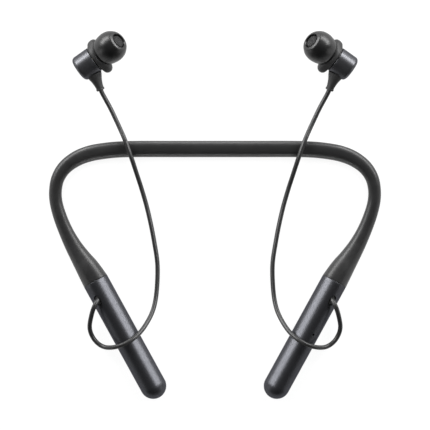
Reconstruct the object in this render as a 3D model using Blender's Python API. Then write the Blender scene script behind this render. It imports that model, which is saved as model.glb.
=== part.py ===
"""Neckband earphones: a springy silicone band, a slim pod on each end and two in-ear buds on short cords.

The object lies flat on the plane z = 0 with the middle of its band towards +Y and both pods towards -Y.
Lengths in this file are millimetres and angles are degrees; MM turns them into Blender's metres.
side is -1 for the half at -X and +1 for the half at +X, which mirror each other apart from the controls.
"""
import math

import bmesh
import bpy
from mathutils import Matrix, Vector

MM = 0.001
GAP = 0.3            # air left between pieces that would touch
SIDES = (("left", -1), ("right", 1))

# Pods: round bars with one domed end, resting on a narrow flat along the underside.
POD_RADIUS = 5.5
POD_WALL = 0.9
POD_STRAIGHT = 50.3
POD_START = (50.2, -27.7)          # where the pod's axis meets the band, x away from the middle
POD_SLANT = 61.2                   # the axis below the X direction, converging towards -Y
LAND_ANGLE = 11.0                  # half the angle that the flat underside takes from a section
POD_HEIGHT = POD_RADIUS * math.cos(math.radians(LAND_ANGLE))
SEAM_GAP = 0.12                    # each half of the gap between band and pod
PARTING = -0.15                    # the upper casing ends here, measured from the pod's axis
PARTING_GAP = 0.2

# Band: x away from the middle, y, half width in plan, half height, squareness of the section.
BAND_ROUTE = (
    (0.0, 27.8, 3.45, 2.75, 2.5),
    (17.0, 27.8, 3.45, 2.75, 2.5),
    (31.7, 27.8, 3.45, 2.75, 2.5),
    (40.1, 27.6, 3.42, 2.75, 2.45),
    (46.5, 27.0, 3.42, 2.75, 2.4),
    (52.8, 25.85, 3.4, 2.75, 2.35),
    (58.4, 23.65, 3.28, 2.72, 2.3),
    (63.15, 20.1, 3.05, 2.7, 2.2),
    (66.1, 15.5, 2.82, 2.7, 2.15),
    (67.15, 10.3, 2.7, 2.7, 2.1),
    (66.85, 5.2, 2.72, 2.75, 2.0),
    (65.25, -0.6, 2.85, 2.9, 2.0),
    (62.8, -6.7, 3.05, 3.1, 2.0),
    (59.8, -12.6, 3.5, 3.5, 2.0),
    (56.45, -18.0, 4.2, 4.2, 2.0),
    (53.45, -22.4, 4.95, 4.95, 2.0),
    (50.2, -27.7, 5.5, 5.5, 2.0),
)
SHOULDER = 9                       # the route's point where the arm bends outward
BORE_HALF = (1.7, 0.95)            # channel through the band, half width and half height
SPRING_RADIUS, SPRING_OFFSET = 0.4, -0.9
LOOM_RADIUS, LOOM_OFFSET = 0.55, 0.75
KNUCKLE_GAP = 0.3
SOCKET_RADIUS, SOCKET_DEPTH = 3.8, 6.4
ANCHOR_RADIUS = 3.4
BOW_STEPS = 12                     # sections between the middle of the bow and a shoulder
ARM_STEPS = 10
SECTION_POINTS = 17

# Cord exit on the pod's upper outer side.
EXIT_ALONG = 7.7
EXIT_ROLL = 33.0                   # from straight up towards the outer side
SLOT_HALF = (2.3, 1.4)

# Controls on the inner side of the pod at +X, just under its widest line.
CONTROL_HEIGHT = -2.05
CONTROL_HALF = 1.25
BUTTON_HALF_LENGTH = 2.5
BUTTON_FLANGE = (-3.62, -3.2)      # the lip behind the casing, outer and inner face
BUTTON_PROUD = 0.22                # how far a key stands out of the casing
BUTTONS = (("power", 13.0), ("volume_up", 20.0), ("play", 26.5), ("volume_down", 33.0))
LIGHT_ALONG = 8.0
PORT_ALONG = 42.5
PORT_HALF = (4.5, 1.5)             # mouth of the charging socket, half length and half height
PORT_WALL = 0.3
FLAP_TOP, FLAP_BOTTOM = 1.3, -1.7  # edges of the flap, from the middle of the socket
FLAP_THICK = 0.75
MIC_ALONG = 24.0
BOARD_SCREWS = (("front", 10.5), ("rear", 21.5))
PAST = 8.0                         # from the pod's axis to outside everything, for cutters

# Earbuds: the housing's seam with the front shell is the origin of each earbud.
EAR_SEAM = (50.6, 65.5, 6.5)       # x away from the middle, y, z
EAR_TURN = 35.0                    # the housing's axis above the X direction, towards the middle
HOUSING_TILT = 8.0                 # the housing's axis above the table
NOZZLE_TILT = 35.0                 # the nozzle's axis above the table
HOUSING_RADIUS = 5.55
HOUSING_WALL = 0.65
HOUSING_DEPTH = 8.3
TIP_SEAT = 6.04                    # from the seam along the bent axis to the ear tip's rim
NOZZLE_RADIUS = 2.75
NOZZLE_BORE = 2.1
NOZZLE_END = 14.3
TIP_LENGTH = 9.0
BOOT_ROOT = (-3.75, 5.0, -0.6)      # along the earbud, away from it, up
BOOT_TAIL = (-5.35, 12.2, -2.3)
BOOT_SECTIONS = (                  # distance from the root, half width, half thickness
    (-0.2, 3.35, 2.4),
    (1.4, 2.9, 2.05),
    (3.0, 2.3, 1.8),
    (4.8, 1.85, 1.6),
    (6.3, 1.55, 1.5),
    (6.6, 1.55, 1.5),
    (6.7, 1.75, 1.7),
    (7.3, 1.75, 1.7),
    (7.45, 1.6, 1.55),
)
NECK_RADIUS = 1.35                 # the strain relief where it passes the housing's wall
NECK_HOLE = 1.75
WING_INNER = 5.5
WING_BACK, WING_FRONT = 0.3, 5.2   # the wing's ends along the housing's axis, at the sides
WING_RISE = 2.7                    # how much shorter it is on top, below the ear tip's rim

# Free cords, from the pod's slot to the earbud: x away from the middle, y, z.
CORD_RADIUS = 0.95
CORD_STEP = 4.8
CORD_ROUTE = (
    (49.25, -35.95, 10.30),
    (49.95, -37.10, 11.00),
    (50.95, -39.30, 10.95),
    (52.05, -43.20, 9.30),
    (52.65, -47.20, 7.20),
    (51.80, -50.50, 5.90),
    (49.80, -53.45, 5.70),
    (46.95, -55.30, 6.80),
    (44.00, -55.60, 8.90),
    (40.80, -55.05, 11.20),
    (37.60, -53.85, 12.50),
    (34.40, -51.85, 12.00),
    (31.20, -49.00, 9.60),
    (28.30, -44.80, 6.00),
    (26.20, -40.40, 3.20),
    (24.95, -35.20, 1.60),
    (24.30, -28.00, 1.00),
    (24.30, -20.00, 0.97),
    (25.50, -12.00, 0.97),
    (26.90, -4.50, 0.97),
    (28.75, 3.50, 1.10),
    (30.90, 11.00, 2.30),
    (32.85, 17.10, 4.40),
    (34.75, 23.00, 6.55),
    (36.35, 27.60, 7.05),
    (37.85, 31.60, 6.50),
    (39.70, 35.80, 4.60),
    (41.85, 40.40, 3.15),
    (43.85, 44.60, 2.75),
    (45.90, 48.40, 3.20),
)


# ---------------------------------------------------------------- materials

def look(name, colour, roughness, metallic=0.0):
    """One Principled material."""
    material = bpy.data.materials.new(name)
    material.use_nodes = True
    shader = material.node_tree.nodes["Principled BSDF"]
    shader.inputs["Base Color"].default_value = (*colour, 1.0)
    shader.inputs["Roughness"].default_value = roughness
    shader.inputs["Metallic"].default_value = metallic
    material.diffuse_color = (*colour, 1.0)
    return material


def make_looks():
    return {
        "silicone": look("soft_silicone", (0.035, 0.035, 0.036), 0.55),
        "pod_paint": look("pod_paint", (0.022, 0.023, 0.028), 0.3, 0.6),
        "bud_metal": look("bud_metal", (0.05, 0.05, 0.06), 0.25, 0.9),
        "tip_rubber": look("tip_rubber", (0.012, 0.012, 0.012), 0.45),
        "shell_plastic": look("shell_plastic", (0.02, 0.02, 0.021), 0.4),
        "cord_rubber": look("cord_rubber", (0.045, 0.045, 0.045), 0.45),
        "button_rubber": look("button_rubber", (0.03, 0.03, 0.03), 0.6),
        "spring_metal": look("spring_metal", (0.55, 0.55, 0.55), 0.25, 1.0),
        "steel": look("steel", (0.6, 0.6, 0.62), 0.3, 1.0),
        "magnet": look("magnet", (0.45, 0.45, 0.47), 0.25, 1.0),
        "board_green": look("board_green", (0.02, 0.12, 0.05), 0.4),
        "switch_black": look("switch_black", (0.02, 0.02, 0.02), 0.4),
        "loom_jacket": look("loom_jacket", (0.3, 0.05, 0.04), 0.5),
        "film": look("film", (0.6, 0.5, 0.25), 0.3),
        "cell_wrap": look("cell_wrap", (0.05, 0.12, 0.35), 0.35),
        "foam": look("foam", (0.05, 0.05, 0.05), 0.9),
        "light_guide": look("light_guide", (0.8, 0.8, 0.82), 0.2),
    }


# ---------------------------------------------------------------- placing

class Frame:
    """An empty that pieces hang on, with its world matrix in millimetres."""

    def __init__(self, name, world, parent=None):
        self.world = world
        local = parent.world.inverted() @ world if parent else world
        self.empty = bpy.data.objects.new(name, None)
        self.empty.empty_display_size = 5 * MM
        bpy.context.scene.collection.objects.link(self.empty)
        if parent:
            self.empty.parent = parent.empty
        self.empty.matrix_basis = in_metres(local)


def in_metres(matrix):
    scaled = matrix.copy()
    scaled.translation = matrix.translation * MM
    return scaled


def place(name, bm, material, frame, local=None, smooth_below=40.0):
    """Turn a mesh in millimetres into a named object on a frame."""
    bmesh.ops.recalc_face_normals(bm, faces=bm.faces)
    bmesh.ops.scale(bm, vec=(MM, MM, MM), verts=bm.verts)
    mesh = bpy.data.meshes.new(name)
    bm.to_mesh(mesh)
    bm.free()
    mesh.materials.append(material)
    mesh.shade_smooth()
    mesh.set_sharp_from_angle(angle=math.radians(smooth_below))
    piece = bpy.data.objects.new(name, mesh)
    bpy.context.scene.collection.objects.link(piece)
    piece.parent = frame.empty
    piece.matrix_basis = in_metres(local) if local else Matrix()
    return piece


def cut(piece, bm, material, frame, local=None, operation="DIFFERENCE"):
    """Carve a piece with a hidden cutter, or join the cutter's shape to it."""
    number = sum(1 for modifier in piece.modifiers if modifier.type == "BOOLEAN") + 1
    tool = place(f"{piece.name}_cutter_{number}", bm, material, frame, local)
    tool.hide_render = True
    tool.display_type = "WIRE"
    modifier = piece.modifiers.new(f"cut_{number}", "BOOLEAN")
    modifier.operation = operation
    modifier.object = tool


# ---------------------------------------------------------------- shapes

def skin(rings, closed=False):
    """Mesh through rings of equal count, or single points as poles; open ends are capped."""
    bm = bmesh.new()
    rows = [[bm.verts.new(point) for point in ring] for ring in rings]
    pairs = list(zip(rows, rows[1:]))
    if closed:
        pairs.append((rows[-1], rows[0]))
    for first, second in pairs:
        count = max(len(first), len(second))
        for i in range(count):
            j = (i + 1) % count
            corners = (
                first[i % len(first)],
                first[j % len(first)],
                second[j % len(second)],
                second[i % len(second)],
            )
            bm.faces.new(list(dict.fromkeys(corners)))
    if not closed:
        for row in (rows[0], rows[-1]):
            if len(row) > 2:
                bm.faces.new(row)
    return bm


def circle(x, radius, count):
    """Ring round the local X axis, or one point on it."""
    if radius < 1e-6:
        return [Vector((x, 0.0, 0.0))]
    turns = (2 * math.pi * (i + 0.5) / count for i in range(count))
    return [Vector((x, radius * math.cos(t), radius * math.sin(t))) for t in turns]


def turned(profile, count, closed=False):
    """Solid turned round the local X axis from (x, radius) pairs."""
    return skin([circle(x, radius, count) for x, radius in profile], closed)


def rod(start, end, radius, count):
    """Plain round bar along the local X axis."""
    return turned(((start, 0.0), (start, radius), (end, radius), (end, 0.0)), count)


def upright(bm):
    """Turn a mesh made along X so that it runs along Z."""
    bm.transform(Matrix.Rotation(math.radians(-90), 4, "Y"))
    return bm


def sideways(bm):
    """Turn a mesh made along X so that it runs towards -Y."""
    bm.transform(Matrix.Rotation(math.radians(-90), 4, "Z"))
    return bm


def loop(half_width, half_height, count):
    """An ellipse as (across, up) pairs."""
    turns = (math.tau * k / count for k in range(count))
    return [(half_width * math.cos(t), half_height * math.sin(t)) for t in turns]


def quarter(centre_x, centre_radius, radius, start, end, steps):
    """Arc of a turned profile; 0 points along the radius and 90 along +X."""
    angles = (math.radians(start + (end - start) * i / steps) for i in range(steps + 1))
    return [(centre_x + radius * math.sin(a), centre_radius + radius * math.cos(a)) for a in angles]


def block(*spans):
    """Boxes, each given as ((x0, x1), (y0, y1), (z0, z1))."""
    bm = bmesh.new()
    sides = ((0, 1, 3, 2), (4, 5, 7, 6), (0, 1, 5, 4), (2, 3, 7, 6), (0, 2, 6, 4), (1, 3, 7, 5))
    for span in spans:
        corners = [bm.verts.new((x, y, z)) for x in span[0] for y in span[1] for z in span[2]]
        for side in sides:
            bm.faces.new([corners[k] for k in side])
    bmesh.ops.recalc_face_normals(bm, faces=bm.faces)
    return bm


def stadium(levels, steps=5):
    """Upright plug with round ends along X, from (height, half length, half width) levels."""
    rings = []
    for height, half_length, half_width in levels:
        straight = half_length - half_width
        ring = []
        for end in (0, 1):
            for i in range(steps + 1):
                turn = math.pi * (end + i / steps) - math.pi / 2
                shift = straight if end == 0 else -straight
                ring.append(Vector((
                    shift + half_width * math.cos(turn), half_width * math.sin(turn), height)))
        rings.append(ring)
    return skin(rings)


def oval(half_width, half_height, power, count, land=LAND_ANGLE):
    """Section as (across, up) pairs: a rounded oval whose lowest stretch is a flat."""
    points = []
    for i in range(count):
        turn = math.radians(-90 + land + (360 - 2 * land) * i / (count - 1))
        across, up = math.cos(turn), math.sin(turn)
        points.append((
            math.copysign(half_width * abs(across) ** (2 / power), across),
            math.copysign(half_height * abs(up) ** (2 / power), up),
        ))
    return points


def spline(points, t):
    """Catmull-Rom value through tuples of any length at t = 0 .. len(points) - 1."""
    span = min(int(t), len(points) - 2)
    u = t - span
    before = points[span - 1] if span else tuple(2 * a - b for a, b in zip(points[0], points[1]))
    after = (
        points[span + 2] if span + 2 < len(points)
        else tuple(2 * a - b for a, b in zip(points[-1], points[-2]))
    )
    return tuple(
        0.5 * (2 * b + (c - a) * u + (2 * a - 5 * b + 4 * c - d) * u * u + (3 * b - a - 3 * c + d) * u ** 3)
        for a, b, c, d in zip(before, points[span], points[span + 1], after)
    )


def evenly(points, count):
    """The spline's values at count + 1 places, evenly spaced by length in their first three numbers."""
    dense = [spline(points, (len(points) - 1) * i / 600) for i in range(601)]
    lengths = [0.0]
    for first, second in zip(dense, dense[1:]):
        lengths.append(lengths[-1] + math.dist(first[:3], second[:3]))
    found, k = [], 0
    for i in range(count + 1):
        want = lengths[-1] * i / count
        while k < 599 and lengths[k + 1] < want:
            k += 1
        part = (want - lengths[k]) / (lengths[k + 1] - lengths[k])
        found.append(tuple(a + (b - a) * part for a, b in zip(dense[k], dense[k + 1])))
    return found


# ---------------------------------------------------------------- band

class Station:
    """One section of the band: its centre, its direction in plan and its size."""

    def __init__(self, values, ahead, mirror):
        x, y, self.half_width, self.half_height, self.power = values
        lift = self.half_height * math.sin(math.radians(90 - LAND_ANGLE)) ** (2 / self.power)
        self.centre = Vector((x * mirror, y, lift))
        self.ahead = Vector((ahead[0] * mirror, ahead[1], 0.0)).normalized()
        self.across = Vector((0.0, 0.0, 1.0)).cross(self.ahead)

    def ring(self, shape, shift=0.0, lead=0.0, scale=1.0):
        """A ring of (across, up) pairs in this section."""
        middle = self.centre + self.ahead * lead
        up = Vector((0.0, 0.0, 1.0))
        return [middle + self.across * (shift + a * scale) + up * (b * scale) for a, b in shape]


def heading(low, high):
    """Direction in plan from one point to another."""
    return (high[0] - low[0], high[1] - low[1])


def band_stations(first, last, count, mirror):
    """Stations between two of the route's points, spaced evenly along the band."""
    # A zero height goes in third place, so that lengths are measured in plan.
    spots = evenly([(*values[:2], 0.0, *values[2:]) for values in BAND_ROUTE[first:last + 1]], count)
    aims = [heading(spots[max(i - 1, 0)], spots[min(i + 1, count)]) for i in range(count + 1)]
    if first == 0:
        aims[0] = (1.0, 0.0)
    else:
        aims[0] = heading(BAND_ROUTE[first - 1], BAND_ROUTE[first + 1])
    if last + 1 < len(BAND_ROUTE):
        aims[-1] = heading(BAND_ROUTE[last - 1], BAND_ROUTE[last + 1])
    else:
        slant = math.radians(POD_SLANT)
        aims[-1] = (-math.cos(slant), -math.sin(slant))
    return [Station((*spot[:2], *spot[3:]), aim, mirror) for spot, aim in zip(spots, aims)]


def bow_stations():
    """The whole bow from the -X shoulder to the +X one."""
    right = band_stations(0, SHOULDER, BOW_STEPS, 1)
    left = band_stations(0, SHOULDER, BOW_STEPS, -1)
    stations = list(reversed(left[1:]))
    for station in stations:
        station.ahead = -station.ahead
        station.across = -station.across
    return stations + right


def tube_through(stations, radius, shift, lead_in=0.0, lead_out=0.0):
    """A thin round rod along the stations."""
    shape = loop(radius, radius, 6)
    leads = [lead_in] + [0.0] * (len(stations) - 2) + [lead_out]
    return skin([s.ring(shape, shift, lead) for s, lead in zip(stations, leads)])


def bore_through(stations, lead_in, lead_out):
    """Cutter for the channel that the spring and the loom run in."""
    shape = loop(*BORE_HALF, 10)
    rings = [stations[0].ring(shape, 0.0, lead_in)]
    rings += [s.ring(shape) for s in stations]
    rings.append(stations[-1].ring(shape, 0.0, lead_out))
    return skin(rings)


def band_ring(station, lead=0.0):
    """The band's outline at a station."""
    outline = oval(station.half_width, station.half_height, station.power, SECTION_POINTS)
    return station.ring(outline, 0.0, lead)


def build_bow(looks, world):
    """The middle of the band with its own lengths of spring and loom."""
    stations = bow_stations()
    bow = place("neckband_bow", skin([band_ring(s) for s in stations]), looks["silicone"], world)
    cut(bow, bore_through(stations, -3.0, 3.0), looks["silicone"], world)
    pivot_x, pivot_y, half_width = BAND_ROUTE[SHOULDER][:3]
    for _, side in SIDES:
        hollow = upright(rod(-2.0, 8.0, half_width + KNUCKLE_GAP, 24))
        cut(bow, hollow, looks["silicone"], world, Matrix.Translation((side * pivot_x, pivot_y, 0.0)))
    inner = stations[1:-1]
    place("bow_spring_wire", tube_through(inner, SPRING_RADIUS, SPRING_OFFSET),
          looks["spring_metal"], world)
    place("bow_wiring_loom", tube_through(inner, LOOM_RADIUS, LOOM_OFFSET), looks["loom_jacket"], world)


def build_arm_sleeve(name, side, looks, arm, pod):
    """The flared end of the band, from the shoulder to the pod, with its spring and loom."""
    stations = band_stations(SHOULDER, len(BAND_ROUTE) - 1, ARM_STEPS, side)
    first = stations[0]
    outline = oval(first.half_width, first.half_height, first.power, SECTION_POINTS)
    rings = []
    for angle in (72, 48, 24):
        turn = math.radians(angle)
        rings.append(first.ring(outline, 0.0, -first.half_width * math.sin(turn), math.cos(turn)))
    rings += [band_ring(s) for s in stations[:-1]]
    rings.append(band_ring(stations[-1], -SEAM_GAP))
    to_arm = arm.world.inverted()
    body = skin(rings)
    body.transform(to_arm)
    sleeve = place(f"{name}_arm_sleeve", body, looks["silicone"], arm)
    bore = bore_through(stations[:-1], -4.0, 1.0)
    bore.transform(to_arm)
    cut(sleeve, bore, looks["silicone"], arm)
    cut(sleeve, rod(-SOCKET_DEPTH, 2.0, SOCKET_RADIUS, 20), looks["silicone"], pod)
    # A positive shift points away from the neck on the -X arm and towards it on the +X arm.
    for label, thick, shift, material in (
        ("spring_wire", SPRING_RADIUS, SPRING_OFFSET, "spring_metal"),
        ("wiring_loom", LOOM_RADIUS, LOOM_OFFSET, "loom_jacket"),
    ):
        wire = tube_through(stations, thick, side * shift, -1.4, 1.6)
        wire.transform(to_arm)
        place(f"{name}_arm_{label}", wire, looks[material], arm)


# ---------------------------------------------------------------- pods

def pod_shell():
    """The whole hollow casing, before it is parted."""
    inner = POD_RADIUS - POD_WALL
    profile = quarter(POD_STRAIGHT, 0.0, inner, 90, 0, 3)
    profile += [(1.5, inner), (1.5, SOCKET_RADIUS), (SEAM_GAP, SOCKET_RADIUS)]
    profile += [(SEAM_GAP, POD_RADIUS - 0.15), (SEAM_GAP + 0.15, POD_RADIUS)]
    profile += quarter(POD_STRAIGHT, 0.0, POD_RADIUS, 0, 90, 5)
    profile[0] = (profile[0][0], 0.0)
    profile[-1] = (profile[-1][0], 0.0)
    return turned(profile, 24)


def exit_frame(side, along=EXIT_ALONG):
    """Matrix whose Z points out of the pod's upper outer side."""
    return Matrix.Translation((along, 0.0, 0.0)) @ Matrix.Rotation(math.radians(-side * EXIT_ROLL), 4, "X")


def build_casings(name, side, looks, pod):
    """Upper and lower shells, with the openings of that side."""
    paint = looks["pod_paint"]
    long = (-1.0, POD_STRAIGHT + PAST)
    wide = (-PAST, PAST)
    upper = place(f"{name}_pod_upper_casing", pod_shell(), paint, pod)
    cut(upper, block((long, wide, (-PAST, PARTING))), paint, pod)
    cut(upper, stadium(((2.0, *SLOT_HALF), (PAST, *SLOT_HALF))), paint, pod, exit_frame(side))
    lower = place(f"{name}_pod_lower_casing", pod_shell(), paint, pod)
    cut(lower, block((long, wide, (PARTING - PARTING_GAP, PAST))), paint, pod)
    cut(lower, block((long, wide, (-PAST, -POD_HEIGHT))), paint, pod)
    if side > 0:
        cut(upper, upright(rod(2.0, PAST, 0.5, 12)), paint, pod, exit_frame(side, MIC_ALONG))
        tall = CONTROL_HALF + GAP
        reach = BUTTON_HALF_LENGTH + GAP
        span = (CONTROL_HEIGHT - tall, CONTROL_HEIGHT + tall)
        openings = [((x - reach, x + reach), (-PAST, -2.0), span) for _, x in BUTTONS]
        half = PORT_HALF[0] + 0.5
        span = (CONTROL_HEIGHT + FLAP_BOTTOM - GAP, CONTROL_HEIGHT + FLAP_TOP + GAP)
        openings.append(((PORT_ALONG - half, PORT_ALONG + half), (2.0, PAST), span))
        cut(lower, block(*openings), paint, pod)
        light = Matrix.Translation((LIGHT_ALONG, 0.0, CONTROL_HEIGHT))
        cut(lower, sideways(rod(2.0, PAST, 0.8, 12)), paint, pod, light)


def build_pod_mouth(name, side, looks, pod):
    """The plug that ties the band to the pod, and the grommet of the cord."""
    root, chamfer, tip = -5.9, 0.4, 3.9
    profile = (
        (root, 0.0), (root, ANCHOR_RADIUS - chamfer), (root + chamfer, ANCHOR_RADIUS),
        (tip, ANCHOR_RADIUS), (tip, 0.0),
    )
    anchor = place(f"{name}_band_anchor", turned(profile, 16), looks["shell_plastic"], pod)
    # The channel starts low, where the wires arrive from the band, and rises to the pod's axis.
    channel = skin([
        [Vector((x, y, z - drop)) for y, z in loop(wide, tall, 10)]
        for x, wide, tall, drop in ((-8.0, 2.5, 1.6, 0.75), (6.0, 1.9, 1.1, 0.0))
    ])
    cut(anchor, channel, looks["shell_plastic"], pod)
    levels = ((2.9, 2.7, 1.8), (3.5, 2.7, 1.8), (3.5, 2.0, 1.1), (5.0, 2.0, 1.1))
    place(f"{name}_cord_grommet", stadium(levels), looks["button_rubber"], pod, exit_frame(side))


def build_battery(looks, pod):
    """The cell and its small board, in the pod at -X."""
    cell = (
        (13.0, 0.0), (13.0, 3.8), (13.3, 4.1), (45.5, 4.1),
        (45.8, 3.8), (45.8, 1.8), (46.4, 1.8), (46.4, 0.0),
    )
    place("battery_cell", turned(cell, 20), looks["cell_wrap"], pod)
    place("battery_foam_pad", rod(11.2, 12.7, 3.6, 12), looks["foam"], pod)
    board = block(((46.8, 47.6), (-2.9, 2.9), (-2.6, 2.6)))
    place("battery_protection_board", board, looks["board_green"], pod)


def build_controls(looks, pod):
    """The buttons of the pod at +X with their switches, and the light guide."""
    rubber = looks["button_rubber"]
    reach = BUTTON_HALF_LENGTH
    for label, along in BUTTONS:
        spot = Matrix.Translation((along, 0.0, CONTROL_HEIGHT))
        cap = block(((-reach, reach), (-7.0, BUTTON_FLANGE[0]), (-CONTROL_HALF, CONTROL_HALF)))
        button = place(f"{label}_button", cap, rubber, pod, spot)
        crown = rod(-4.0, 4.0, POD_RADIUS + BUTTON_PROUD, 36)
        cut(button, crown, rubber, pod, Matrix.Translation((along, 0.0, 0.0)), "INTERSECT")
        flange = block(((-reach - 0.6, reach + 0.6), BUTTON_FLANGE, (-0.7, 1.0)))
        cut(button, flange, rubber, pod, spot, "UNION")
        switch = block(((-1.7, 1.7), (-2.5, -0.7), (-0.9, 0.9)))
        front = min(switch.faces, key=lambda face: face.calc_center_median().y)
        bmesh.ops.inset_region(switch, faces=[front], thickness=0.45)
        bmesh.ops.translate(switch, vec=(0.0, -0.35, 0.0), verts=front.verts)
        place(f"{label}_switch", switch, looks["switch_black"], pod, spot)
    light = Matrix.Translation((LIGHT_ALONG, 0.0, CONTROL_HEIGHT))
    place("status_light_guide", sideways(rod(3.3, 5.1, 0.5, 12)), looks["light_guide"], pod, light)


def build_port(looks, pod):
    """The charging socket and its hinged rubber flap, on the outer side."""
    middle = Matrix.Translation((PORT_ALONG, 0.0, CONTROL_HEIGHT))
    steel = looks["steel"]
    length, height = PORT_HALF
    inside = (length - PORT_WALL, height - PORT_WALL)
    shell = block(((-length, length), (-2.2, 3.3), (-height, height)))
    socket = place("charging_socket", shell, steel, pod, middle)
    mouth = block(((-inside[0], inside[0]), (-1.8, 5.0), (-inside[1], inside[1])))
    cut(socket, mouth, steel, pod, middle)
    tongue = block(((-3.3, 3.3), (-2.0, 2.5), (-0.35, 0.35)))
    cut(socket, tongue, steel, pod, middle, "UNION")
    # The flap's origin is its hinge line, the upper outer edge of its opening.
    hinge_up = CONTROL_HEIGHT + FLAP_TOP
    hinge_out = math.sqrt(POD_RADIUS ** 2 - hinge_up ** 2)
    top = math.asin(hinge_up / POD_RADIUS)
    bottom = math.asin((CONTROL_HEIGHT + FLAP_BOTTOM) / POD_RADIUS)
    turns = [top + (bottom - top) * k / 6 for k in range(7)]
    outline = [(POD_RADIUS, turn) for turn in turns]
    outline += [(POD_RADIUS - FLAP_THICK, turn) for turn in reversed(turns)]
    flap = skin([
        [Vector((x, r * math.cos(t) - hinge_out, r * math.sin(t) - hinge_up)) for r, t in outline]
        for x in (-length - 0.2, length + 0.2)
    ])
    hinge = Matrix.Translation((PORT_ALONG, hinge_out, hinge_up))
    place("charging_flap", flap, looks["button_rubber"], pod, hinge, 30.0)


def build_electronics(looks, pod):
    """The main board of the pod at +X and what is soldered to it."""
    plate = block(((5.6, 47.0), (-4.1, 4.1), (-0.25, 0.45)))
    board = place("main_board", plate, looks["board_green"], pod)
    can = block(((28.5, 36.5), (-3.0, 3.0), (0.7, 2.2)))
    vertical = [e for e in can.edges if abs(e.verts[0].co.z - e.verts[1].co.z) > 1.0]
    bmesh.ops.bevel(can, geom=vertical, offset=0.5, segments=2, affect="EDGES")
    place("radio_shield_can", can, looks["steel"], pod)
    place("chip_antenna", block(((40.0, 46.0), (-1.2, 1.2), (0.7, 1.7))), looks["film"], pod)
    screw = (
        (-0.9, 0.0), (-0.9, 0.55), (0.7, 0.55), (0.7, 1.0),
        (1.1, 1.0), (1.3, 0.7), (1.3, 0.0),
    )
    for label, along in BOARD_SCREWS:
        spot = Matrix.Translation((along, 0.0, 0.0))
        place(f"board_screw_{label}", upright(turned(screw, 12)), looks["steel"], pod, spot)
        cut(board, upright(rod(-2.0, 2.0, 0.85, 12)), looks["board_green"], pod, spot)
    gasket = turned(((3.75, 1.35), (4.35, 1.35), (4.35, 0.6), (3.75, 0.6)), 14, closed=True)
    under_hole = exit_frame(1, MIC_ALONG)
    place("microphone_gasket", upright(gasket), looks["button_rubber"], pod, under_hole)
    place("microphone", upright(rod(2.4, 3.5, 1.4, 14)), looks["steel"], pod, under_hole)


# ---------------------------------------------------------------- earbuds

def bent_axis(distance):
    """Centre and tilt of the earbud's axis, from the seam forward, in the earbud's XZ plane."""
    straight, bent = 1.2, 3.4
    x = z = walked = 0.0
    step = 0.1
    tilt = HOUSING_TILT
    while walked < distance - 1e-9:
        stride = min(step, distance - walked)
        middle = walked + stride / 2
        share = min(max((middle - straight) / (bent - straight), 0.0), 1.0)
        tilt = HOUSING_TILT + (NOZZLE_TILT - HOUSING_TILT) * share
        x += stride * math.cos(math.radians(tilt))
        z += stride * math.sin(math.radians(tilt))
        walked += stride
    return Vector((x, 0.0, z)), tilt


def axis_matrix(distance):
    """Matrix whose X runs along the bent axis at that distance from the seam."""
    centre, tilt = bent_axis(distance)
    return Matrix.Translation(centre) @ Matrix.Rotation(math.radians(-tilt), 4, "Y")


def bent_ring(distance, radius, count):
    matrix = axis_matrix(distance)
    return [matrix @ point for point in circle(0.0, radius, count)]


def boot_frame():
    """Root, tail and directions of the -X earbud's strain relief, which leaves its housing along -Y."""
    root = Vector((BOOT_ROOT[0], -BOOT_ROOT[1], BOOT_ROOT[2]))
    tail = Vector((BOOT_TAIL[0], -BOOT_TAIL[1], BOOT_TAIL[2]))
    ahead = (tail - root).normalized()
    across = ahead.cross(Vector((0.0, 0.0, 1.0))).normalized()
    return root, tail, ahead, across, across.cross(ahead)


def mirrored(bm, side):
    """The +X earbud's pieces are the mirror image of the -X ones."""
    if side > 0:
        bmesh.ops.scale(bm, vec=(1.0, -1.0, 1.0), verts=bm.verts)
    return bm


def boot_ring(lead, wide, tall, count):
    """Ring across the strain relief at a distance from its root."""
    root, _, ahead, across, up = boot_frame()
    return [root + ahead * lead + across * a + up * b for a, b in loop(wide, tall, count)]


def housing_tilt():
    """Matrix whose X runs along the housing's axis."""
    return Matrix.Rotation(math.radians(-HOUSING_TILT), 4, "Y")


def build_housing(name, side, looks, ear):
    """The metal cup with the side hole for the strain relief."""
    inner = HOUSING_RADIUS - HOUSING_WALL
    edge, crown = 1.7, 0.2
    profile = [(-7.7, 0.0), (-7.6, 3.3), (-7.0, 4.5), (-6.3, inner), (-0.1, inner)]
    profile += [(-0.1, HOUSING_RADIUS - 0.15), (-0.25, HOUSING_RADIUS)]
    profile += quarter(edge - HOUSING_DEPTH, HOUSING_RADIUS - edge, edge, 0, -90, 4)
    profile += [(-HOUSING_DEPTH - crown, 0.0)]
    metal = looks["bud_metal"]
    housing = place(f"{name}_bud_housing", turned(profile, 20), metal, ear, housing_tilt())
    hole = skin([boot_ring(lead, NECK_HOLE, NECK_HOLE, 12) for lead in (-2.0, 3.0)])
    cut(housing, mirrored(hole, side), metal, ear)


def build_boot(name, side, looks, ear):
    """The strain relief: a flared boot outside the housing on a neck that passes its wall."""
    flare = skin([boot_ring(lead, wide, tall, 14) for lead, wide, tall in BOOT_SECTIONS])
    silicone = looks["silicone"]
    boot = place(f"{name}_strain_relief", mirrored(flare, side), silicone, ear)
    cut(boot, rod(-14.0, 4.0, HOUSING_RADIUS + GAP, 24), silicone, ear, housing_tilt())
    neck = skin([boot_ring(lead, NECK_RADIUS, NECK_RADIUS, 10) for lead in (-0.2, 3.0)])
    cut(boot, mirrored(neck, side), silicone, ear, None, "UNION")


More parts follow.
